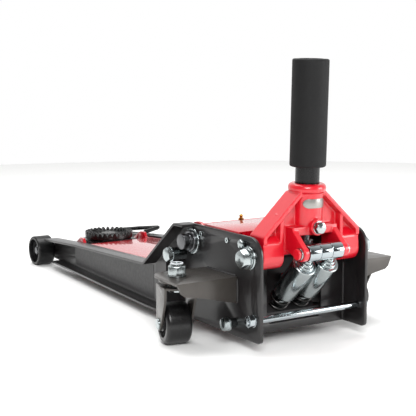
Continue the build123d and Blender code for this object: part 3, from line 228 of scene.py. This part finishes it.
# Injection-moulded nylon with a fine spark-eroded texture.
MOULDED_NYLON = Finish("moulded_black_nylon", "#0c0b0c", "#121112", 0.3, drift_mm=22, grain_mm=0.9,
                       grain_depth_mm=0.03)
# Satin black over a steel roller.
ROLLER_PAINT = Finish("satin_black_on_turned_steel", "#0b0b0c", "#111011", 0.34, drift_mm=18, grain_mm=1.8,
                      grain_depth_mm=0.03, specular=0.35)
# Oil-filled sintered bronze.
SINTERED_BRONZE = Finish("sintered_bronze", "#a07a45", "#8a6637", 0.45, drift_mm=8, grain_mm=0.7,
                         grain_depth_mm=0.02, metallic=1.0)
# Turned yellow brass.
TURNED_BRASS = Finish("turned_brass", "#d1a458", "#c2924a", 0.25, drift_mm=5, grain_mm=0.8,
                      grain_depth_mm=0.01, metallic=1.0)
# Stamped aluminium, brushed along its length.
BRUSHED_PLATE = Finish("brushed_aluminium_plate", "#a8a6a2", "#95938f", 0.36, drift_mm=10, grain_mm=0.5,
                       grain_depth_mm=0.008, metallic=0.9, stretch=(0.06, 1.0, 1.0))
# Printed vinyl film, plain dark grey, with a soft gloss.
VINYL_FILM = Finish("grey_vinyl_film", "#252425", "#2b2a2b", 0.45, drift_mm=120, grain_mm=6.0,
                    grain_depth_mm=0.01)
# Natural nylon insert of a lock nut, milky.
NUT_NYLON = Finish("natural_nylon_ring", "#d9dde0", "#cfd4d8", 0.4, drift_mm=6, grain_mm=1.0,
                   grain_depth_mm=0.01)


# ------------------------------------------------------------------ modelling
def select_only(piece: bpy.types.Object) -> None:
    """Deselect everything else and make the piece active."""
    bpy.ops.object.select_all(action="DESELECT")
    piece.select_set(True)
    bpy.context.view_layer.objects.active = piece


@contextmanager
def editing(piece: bpy.types.Object) -> Iterator[None]:
    """Edit mode on one piece, with all of it selected.

    Args:
        piece: the mesh to edit.

    Yields:
        Nothing, with the piece in edit mode.
    """
    select_only(piece)
    bpy.ops.object.mode_set(mode="EDIT")
    bpy.ops.mesh.select_all(action="SELECT")
    yield
    bpy.ops.object.mode_set(mode="OBJECT")


def modify(piece: bpy.types.Object, kind: str, **settings: object) -> None:
    """Add a modifier with its settings and apply it.

    Args:
        piece: the mesh.
        kind: the modifier's type name.
        **settings: attributes of the modifier.
    """
    select_only(piece)
    added = piece.modifiers.new(kind.lower(), kind)
    for name, value in settings.items():
        setattr(added, name, value)
    bpy.ops.object.modifier_apply(modifier=added.name)


def smooth(piece: bpy.types.Object, degrees: float = 32.0) -> None:
    """Shade smooth across edges flatter than the angle."""
    select_only(piece)
    bpy.ops.object.shade_smooth_by_angle(angle=math.radians(degrees))


def settle(piece: bpy.types.Object, place: Optional[Matrix] = None) -> bpy.types.Object:
    """Put the piece in place and leave its object at the origin.

    Args:
        piece: the mesh object.
        place: matrix applied on top of where it is.

    Returns:
        The same piece.
    """
    if place is not None:
        piece.matrix_world = place @ piece.matrix_world
    select_only(piece)
    bpy.ops.object.transform_apply(location=True, rotation=True, scale=True)
    return piece


def active_as(name: str) -> bpy.types.Object:
    """The primitive just added, under its piece name."""
    piece = bpy.context.view_layer.objects.active
    piece.name = name
    piece.data.name = name
    return piece


def dress(piece: bpy.types.Object, finish: Finish, body: str) -> bpy.types.Object:
    """Give a finished piece its material, and let it ride on its body.

    Args:
        piece: the mesh object, in place.
        finish: what its surface is.
        body: the CAD body that carries it.

    Returns:
        The same piece.
    """
    piece.data.materials.clear()
    piece.data.materials.append(finish.material())
    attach(piece, body)
    LOG.info("%s: %d faces on %s", piece.name, len(piece.data.polygons), body)
    return piece


def keep(node: str, finish: Finish) -> None:
    """Show a CAD node as it is, with the finish on it."""
    shown = frame["nodes"][node]
    shown.data.materials.clear()
    shown.data.materials.append(finish.material())
    LOG.info("%s: kept", node)


def copy_of(node: str) -> bpy.types.Object:
    """A merged copy of a CAD node's mesh, its flat faces made whole again.

    Args:
        node: the CAD node's name.

    Returns:
        A new object, not yet dressed.
    """
    piece = bpy.data.objects.new(node + "_finished", frame["nodes"][node].data.copy())
    bpy.context.scene.collection.objects.link(piece)
    with editing(piece):
        bpy.ops.mesh.remove_doubles(threshold=1e-6)
        bpy.ops.mesh.dissolve_limited(angle_limit=math.radians(1.0))
    return piece


def soften(node: str, finish: Finish, body: str, edge_mm: float = 0.6,
           rings: int = 2, angle: float = 32.0) -> bpy.types.Object:
    """Stand in for a CAD node with the same shape, its sharp edges broken.

    Args:
        node: the CAD node that the piece replaces.
        finish: what its surface is.
        body: the CAD body that carries it.
        edge_mm: width of the broken edges.
        rings: faces across a broken edge.
        angle: only edges sharper than this are broken, in degrees.

    Returns:
        The new piece.
    """
    piece = copy_of(node)
    modify(piece, "BEVEL", width=mm(edge_mm), segments=rings, limit_method="ANGLE",
           angle_limit=math.radians(angle), use_clamp_overlap=True, miter_outer="MITER_ARC",
           harden_normals=False)
    smooth(piece, 40.0)
    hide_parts(node)
    return dress(piece, finish, body)


def cast(node: str, finish: Finish, body: str, grid_mm: float, passes: int) -> bpy.types.Object:
    """Stand in for a CAD node with a foundry's rounding on every edge and inner corner.

    Args:
        node: the CAD node that the piece replaces.
        finish: what its surface is.
        body: the CAD body that carries it.
        grid_mm: size of the mesh's cells.
        passes: how often the mesh is relaxed; more passes round more.

    Returns:
        The new piece.
    """
    piece = copy_of(node)
    modify(piece, "REMESH", mode="VOXEL", voxel_size=mm(grid_mm), adaptivity=0.0)
    modify(piece, "SMOOTH", factor=0.5, iterations=passes)
    with editing(piece):
        bpy.ops.mesh.normals_make_consistent(inside=False)
    smooth(piece, 60.0)
    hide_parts(node)
    return dress(piece, finish, body)


def polish(node: str, finish: Finish, body: str, degrees: float = 50.0) -> bpy.types.Object:
    """Stand in for a round CAD node with the same shape, shaded as one smooth surface.

    Args:
        node: the CAD node that the piece replaces.
        finish: what its surface is.
        body: the CAD body that carries it.
        degrees: edges flatter than this look smooth.

    Returns:
        The new piece.
    """
    piece = copy_of(node)
    smooth(piece, degrees)
    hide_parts(node)
    return dress(piece, finish, body)


def joint(name: str) -> dict:
    """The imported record's joint of that name."""
    return next(j for j in frame["joints"] if j["name"] == name)


def along(direction: Vector) -> Matrix:
    """Turn that carries the Z axis onto a direction."""
    return direction.normalized().to_track_quat("Z", "Y").to_matrix().to_4x4()


@dataclass(frozen=True)
class WeldBead:
    """A hand-laid bead: ripples that overlap along a straight seam, melted into one surface."""
    radius: float = 2.6
    pitch: float = 2.1
    flatness: float = 0.75
    grid: float = 0.55

    def lay(self, name: str, start: Vector, end: Vector) -> bpy.types.Object:
        """Model one bead.

        Args:
            name: the piece's name.
            start: one end of the seam, in metres.
            end: the other end.

        Returns:
            The bead, not yet dressed.
        """
        seam = end - start
        bpy.ops.object.select_all(action="DESELECT")
        bpy.ops.mesh.primitive_uv_sphere_add(segments=14, ring_count=10, radius=mm(self.radius))
        bead = active_as(name)
        with editing(bead):
            bpy.ops.transform.resize(value=(1.0, 1.0, self.flatness))
        count = max(2, int(seam.length / mm(self.pitch)))
        modify(bead, "ARRAY", count=count, use_relative_offset=False, use_constant_offset=True,
               constant_offset_displace=(0.0, 0.0, seam.length / count))
        modify(bead, "REMESH", mode="VOXEL", voxel_size=mm(self.grid), adaptivity=0.0)
        modify(bead, "SMOOTH", factor=0.5, iterations=1)
        smooth(bead, 60.0)
        return settle(bead, Matrix.Translation(start) @ along(seam))


@dataclass
class Chassis:
    """Side plates, cross wall, cover, hardware and welds, all fixed to one another."""
    plate: float = 5.0
    insert_radius: float = 9.2
    insert_thickness: float = 1.0
    insert_sink: float = 0.3
    wall_weld_top: float = 116.0
    wall_weld_start: float = 2.0
    shelf_weld_ends: tuple[float, float] = (6.0, 10.0)
    skirt_weld_ends: float = 3.0
    body: str = "chassis"
    bead: WeldBead = WeldBead()

    def build(self) -> None:
        """Model and dress the whole chassis."""
        self.sheet_metal()
        self.bolts()
        self.hydraulics()
        self.welds()

    def sheet_metal(self) -> None:
        """Plates, wall, cover, brackets and labels."""
        for node in ("side_plate_left", "side_plate_right"):
            soften(node, POWDER_COAT, self.body, edge_mm=1.1)
        soften("cross_wall", POWDER_COAT, self.body, edge_mm=0.8)
        soften("top_cover", SHEET_ENAMEL, self.body, edge_mm=0.9)
        soften("caster_brackets", HAMMER_COAT, self.body, edge_mm=1.4, rings=3)
        keep("side_labels", VINYL_FILM)
        polish("carry_handle", TUBE_PAINT, self.body)

    def bolts(self) -> None:
        """Everything bright that holds the chassis together."""
        for node in ("plate_bosses", "yoke_pivot_bolts", "link_anchor_bolts", "pump_block_bolts",
                     "cover_fasteners", "caster_nuts", "caster_kingpins"):
            soften(node, BRIGHT_ZINC, self.body, edge_mm=0.35)
        soften("tie_rod", HARD_CHROME, self.body, edge_mm=0.3)
        soften("main_shaft", TURNED_STEEL, self.body, edge_mm=0.4)
        soften("front_axle", TURNED_STEEL, self.body, edge_mm=0.3)
        soften("caster_bearings", HAMMER_COAT, self.body, edge_mm=0.4)
        self.nylon_rings()

    def nylon_rings(self) -> None:
        """Milky insert at the top of each caster's lock nut."""
        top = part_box("caster_nuts")[1].z
        for name in ("left", "right"):
            place = Vector(joint("caster_swivel_" + name)["pos_m"])
            bpy.ops.object.select_all(action="DESELECT")
            bpy.ops.mesh.primitive_torus_add(major_radius=mm(self.insert_radius),
                                             minor_radius=mm(self.insert_thickness),
                                             major_segments=48, minor_segments=10,
                                             location=(place.x, place.y, top - mm(self.insert_sink)))
            ring = active_as("nut_insert_" + name)
            smooth(settle(ring), 60.0)
            dress(ring, NUT_NYLON, self.body)

    def hydraulics(self) -> None:
        """Pump block, barrels, springs, cylinder and oil tank under the cover."""
        soften("pump_block", GREY_IRON, self.body, edge_mm=1.5, rings=3)
        soften("pump_barrels", BRIGHT_ZINC, self.body, edge_mm=0.4)
        polish("plunger_springs", SPRING_WIRE, self.body)
        polish("return_springs", SPRING_WIRE, self.body)
        soften("ram_cylinder", TURNED_STEEL, self.body, edge_mm=0.6)
        soften("oil_reservoir", SHEET_ENAMEL, self.body, edge_mm=1.2, rings=3)

    def welds(self) -> None:
        """Beads where the wall and the caster brackets meet the side plates."""
        wall_low, wall_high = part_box("cross_wall")
        iron_low, iron_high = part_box("caster_brackets")
        for side, name in ((-1, "left"), (1, "right")):
            inner = side * wall_high.x
            outer = side * (wall_high.x + mm(self.plate))
            wall = self.bead.lay(
                "wall_weld_" + name,
                Vector((inner, wall_low.y, wall_low.z + mm(self.wall_weld_start))),
                Vector((inner, wall_low.y, mm(self.wall_weld_top))))
            shelf = self.bead.lay(
                "shelf_weld_" + name,
                Vector((outer, iron_low.y + mm(self.shelf_weld_ends[0]), iron_high.z)),
                Vector((outer, iron_high.y - mm(self.shelf_weld_ends[1]), iron_high.z)))
            skirt = self.bead.lay(
                "skirt_weld_" + name,
                Vector((outer, iron_low.y, iron_low.z + mm(self.skirt_weld_ends))),
                Vector((outer, iron_low.y, iron_high.z - mm(self.skirt_weld_ends))))
            for bead in (wall, shelf, skirt):
                dress(bead, POWDER_COAT, self.body)


@dataclass
class Caster:
    """A pressed fork, its riveted axle and a moulded wheel with the mould's parting line."""
    side: str
    wheel_radius: float = 33.5
    seam: float = 0.45

    def build(self) -> None:
        """Model and dress one caster."""
        fork = "caster_fork_" + self.side
        soften(fork, HAMMER_COAT, fork, edge_mm=1.2, rings=3)
        soften("caster_axle_" + self.side, BRIGHT_ZINC, fork, edge_mm=0.3)
        self.wheel()

    def wheel(self) -> None:
        """The wheel and the thin flash line round its tread."""
        node = "caster_wheel_" + self.side
        turn = joint("caster_roll_" + self.side)
        soften(node, MOULDED_NYLON, node, edge_mm=0.9, rings=3)
        bpy.ops.object.select_all(action="DESELECT")
        bpy.ops.mesh.primitive_torus_add(major_radius=mm(self.wheel_radius - self.seam * 0.6),
                                         minor_radius=mm(self.seam), major_segments=120, minor_segments=8)
        line = active_as("tread_seam_" + self.side)
        settle(line, Matrix.Translation(Vector(turn["pos_m"])) @ along(Vector(turn["axis"])))
        smooth(line, 60.0)
        dress(line, MOULDED_NYLON, node)


@dataclass
class FrontRollers:
    """The pair of hollow-ended rollers under the chassis's nose."""

    def build(self) -> None:
        """Model and dress both rollers."""
        for side in ("left", "right"):
            node = "front_wheel_" + side
            soften(node, ROLLER_PAINT, node, edge_mm=0.8, rings=3)


@dataclass
class LiftArm:
    """The red arm with its hub, lugs and pins, and the links that keep the saddle level."""
    body: str = "lift_arm"

    def build(self) -> None:
        """Model and dress the arm, the links and the ram."""
        for node in ("arm_side_plates", "arm_top_plate"):
            soften(node, SHEET_ENAMEL, self.body, edge_mm=1.0)
        for node in ("arm_hub_tube", "ram_lugs"):
            soften(node, SHEET_ENAMEL, self.body, edge_mm=0.8)
        for node in ("ram_pin", "saddle_pivot_pins"):
            soften(node, TURNED_STEEL, self.body, edge_mm=0.4)
        polish("grease_nipple", TURNED_BRASS, self.body, 40.0)
        soften("link_bars", POWDER_COAT, "links", edge_mm=0.8)
        polish("ram_piston_rod", HARD_CHROME, "ram", 40.0)
        soften("ram_push_head", TURNED_STEEL, "ram", edge_mm=0.8)


@dataclass
class Saddle:
    """The toothed cast saddle on its levelled carrier."""
    grid: float = 0.9
    passes: int = 3

    def build(self) -> None:
        """Model and dress the saddle and its carrier."""
        cast("saddle", BLACK_IRON, "saddle", self.grid, self.passes)
        soften("saddle_stem_screw", BRIGHT_ZINC, "saddle", edge_mm=0.3)
        soften("saddle_carrier", BLACK_IRON, "saddle_carrier", edge_mm=1.4, rings=3)
        soften("link_front_pins", BRIGHT_ZINC, "saddle_carrier", edge_mm=0.3)


@dataclass
class Yoke:
    """The cast handle socket on its pivots, with the roller that works the pump."""
    grid: float = 1.0
    passes: int = 5
    rivet: float = 1.7
    rivet_inset: float = 2.5
    rivet_sink: float = 1.5
    body: str = "yoke"

    def build(self) -> None:
        """Model and dress the yoke and all that turns with it."""
        cast("handle_yoke", CAST_ENAMEL, self.body, self.grid, self.passes)
        soften("yoke_bushes", SINTERED_BRONZE, self.body, edge_mm=0.4)
        soften("roller_pin", CAST_ENAMEL, self.body, edge_mm=0.4)
        for node in ("roller_pin_rings", "handle_clamp_bolt"):
            soften(node, BRIGHT_ZINC, self.body, edge_mm=0.35)
        polish("pump_rollers", HARD_CHROME, "rollers", 30.0)
        self.badge()

    def badge(self) -> None:
        """Blank name plate and its two drive pins."""
        soften("name_plate", BRUSHED_PLATE, self.body, edge_mm=0.3)
        low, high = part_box("name_plate")
        height = (low.z + high.z) / 2
        for side, name in ((-1, "left"), (1, "right")):
            bpy.ops.object.select_all(action="DESELECT")
            bpy.ops.mesh.primitive_uv_sphere_add(
                segments=20, ring_count=12, radius=mm(self.rivet),
                location=(side * (high.x - mm(self.rivet_inset)), high.y - mm(self.rivet_sink), height))
            pin = active_as("plate_pin_" + name)
            smooth(settle(pin), 60.0)
            dress(pin, BRIGHT_ZINC, self.body)


@dataclass
class Handle:
    """The lower handle section with its foam sleeve, and the release drive inside."""
    tilt: float = 2.16
    foam_radius: float = 28.5
    bore_radius: float = 19.1
    rim: float = 3.0
    ripple: float = 0.25
    ripple_length: float = 45.0
    rings: int = 24
    body: str = "handle"

    def build(self) -> None:
        """Model and dress the handle and the release spindle."""
        soften("handle_tube", TUBE_PAINT, self.body, edge_mm=0.4)
        self.sleeve()
        soften("release_drive", TURNED_STEEL, self.body, edge_mm=0.4)
        soften("release_valve", TURNED_STEEL, "release_valve", edge_mm=0.4)

    def sleeve(self) -> None:
        """Foam sleeve: a thick tube with soft rims and the slight ripple of extruded foam."""
        low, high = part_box("foam_grip")
        centre = (low + high) / 2
        lean = math.radians(self.tilt)
        reach = (high.z - low.z) - 2 * mm(self.foam_radius) * math.sin(lean)
        length = reach / math.cos(lean)
        bpy.ops.object.select_all(action="DESELECT")
        bpy.ops.mesh.primitive_cylinder_add(vertices=96, radius=mm(self.foam_radius), depth=length,
                                            end_fill_type="NOTHING")
        foam = active_as("foam_sleeve")
        modify(foam, "SOLIDIFY", thickness=mm(self.foam_radius - self.bore_radius), offset=-1.0)
        modify(foam, "BEVEL", width=mm(self.rim), segments=5, limit_method="ANGLE",
               angle_limit=math.radians(40), use_clamp_overlap=True)
        self.stretch_marks(foam, length)
        settle(foam, Matrix.Translation(centre) @ Matrix.Rotation(lean, 4, "X"))
        smooth(foam, 60.0)
        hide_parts("foam_grip")
        dress(foam, CELL_FOAM, self.body)

    def stretch_marks(self, foam: bpy.types.Object, length: float) -> None:
        """Cut rings along the sleeve and let them wander a little in and out.

        Args:
            foam: the sleeve on the Z axis.
            length: its length in metres.
        """
        for step in range(1, self.rings):
            with editing(foam):
                bpy.ops.mesh.bisect(plane_co=(0, 0, length * (step / self.rings - 0.5)), plane_no=(0, 0, 1))
        cloud = bpy.data.textures.new("foam_ripple", "CLOUDS")
        cloud.noise_scale = mm(self.ripple_length)
        modify(foam, "DISPLACE", texture=cloud, texture_coords="LOCAL", strength=mm(self.ripple),
               mid_level=0.5)


@dataclass
class Pump:
    """The two zinc caps that the roller presses."""

    def build(self) -> None:
        """Model and dress both plungers."""
        for side in ("left", "right"):
            soften("pump_plunger_" + side, BRIGHT_ZINC, "plunger_" + side, edge_mm=0.5, rings=3)


# ------------------------------------------------------------------ studio
@dataclass(frozen=True)
class Softbox:
    """A square area light aimed at the jack, in metres and watts."""
    name: str
    place: tuple[float, float, float]
    size: float
    watts: float

    def build(self, aim: Vector) -> None:
        """Add the light.

        Args:
            aim: the point it faces, in metres.
        """
        lamp = bpy.data.lights.new(self.name, "AREA")
        lamp.shape, lamp.size, lamp.energy = "SQUARE", self.size, self.watts
        thing = bpy.data.objects.new(self.name, lamp)
        bpy.context.scene.collection.objects.link(thing)
        thing.matrix_world = Matrix.Translation(self.place) @ along(Vector(self.place) - aim)


@dataclass
class Studio:
    """Pale floor, soft light and the camera, in metres and degrees."""
    floor_radius: float = 2.8
    dim_side: float = 0.1
    fill_side: float = 0.45
    fade: tuple[float, float] = (-0.35, 0.75)
    aim: tuple[float, float, float] = (0.0, -0.2, 0.1)
    lens: float = 88.56
    sensor: float = 36.0
    eye: tuple[float, float, float] = (-0.970466, -1.671254, 0.436925)
    heading: float = 32.003
    pitch: float = 7.923
    roll: float = 0.341

    def build(self) -> None:
        """Add the floor, the light and the camera."""
        self.floor()
        self.light()
        self.camera()

    def floor(self) -> None:
        """A wide pale disc under the casters."""
        paper = Finish("pale_studio_paper", "#fafaf9", "#f8f8f7", 0.8, drift_mm=900, grain_mm=40,
                       grain_depth_mm=0.0)
        bpy.ops.object.select_all(action="DESELECT")
        bpy.ops.mesh.primitive_circle_add(vertices=128, radius=self.floor_radius, fill_type="NGON")
        disc = active_as("studio_floor")
        disc.data.materials.append(paper.material())

    def light(self) -> None:
        """White surroundings that darken towards the viewer's side, and three softboxes.

        The camera itself sees plain white, reflections fade the most and the fill fades less.
        """
        world = bpy.data.worlds.new("white_studio")
        bpy.context.scene.world = world
        world.use_nodes = True
        tree = world.node_tree
        tree.nodes.clear()
        seen_from = add_node(tree, "ShaderNodeTexCoord").outputs["Generated"]
        heading = math.radians(self.heading)
        backdrop = add_node(tree, "ShaderNodeVectorMath", operation="DOT_PRODUCT", inputs={
            0: seen_from, 1: (math.sin(heading), math.cos(heading), 0.0)})
        tent, room = [add_node(tree, "ShaderNodeBackground", {"Strength": add_node(
            tree, "ShaderNodeMapRange", {"Value": backdrop.outputs["Value"], "From Min": self.fade[0],
                                         "From Max": self.fade[1], "To Min": dark, "To Max": 1.0}
        ).outputs["Result"]}) for dark in (self.dim_side, self.fill_side)]
        seen = add_node(tree, "ShaderNodeBackground", {"Strength": 1.0})
        for shade in (tent, room, seen):
            shade.inputs["Color"].default_value = (1.0, 1.0, 1.0, 1.0)
        path = add_node(tree, "ShaderNodeLightPath")
        lit = add_node(tree, "ShaderNodeMixShader", {
            0: path.outputs["Is Glossy Ray"], 1: room.outputs[0], 2: tent.outputs[0]})
        mix = add_node(tree, "ShaderNodeMixShader", {
            0: path.outputs["Is Camera Ray"], 1: lit.outputs[0], 2: seen.outputs[0]})
        add_node(tree, "ShaderNodeOutputWorld", {"Surface": mix.outputs[0]})
        for box in (Softbox("key", (-1.25, -2.5, 1.9), 1.3, 70.0),
                    Softbox("fill_right", (1.9, -2.1, 0.7), 1.2, 36.0),
                    Softbox("overhead", (0.1, 0.5, 2.6), 1.8, 55.0)):
            box.build(Vector(self.aim))

    def camera(self) -> None:
        """A low viewpoint behind the jack and to its left."""
        data = bpy.data.cameras.new("viewer")
        data.lens, data.sensor_width = self.lens, self.sensor
        eye = bpy.data.objects.new("viewer", data)
        bpy.context.scene.collection.objects.link(eye)
        eye.matrix_world = (Matrix.Translation(self.eye)
                            @ Matrix.Rotation(-math.radians(self.heading), 4, "Z")
                            @ Matrix.Rotation(math.radians(90 - self.pitch), 4, "X")
                            @ Matrix.Rotation(-math.radians(self.roll), 4, "Z"))
        bpy.context.scene.camera = eye
        bpy.context.scene.view_settings.view_transform = "Standard"


def main() -> None:
    """Build every sub-assembly in order, then the studio."""
    logging.basicConfig(level=logging.INFO, format="%(name)s: %(message)s")
    for assembly in (Chassis(), Caster("left"), Caster("right"), FrontRollers(), LiftArm(), Saddle(),
                     Yoke(), Pump(), Handle(), Studio()):
        assembly.build()
        LOG.info("%s done", type(assembly).__name__)


if __name__ == "__main__":
    main()
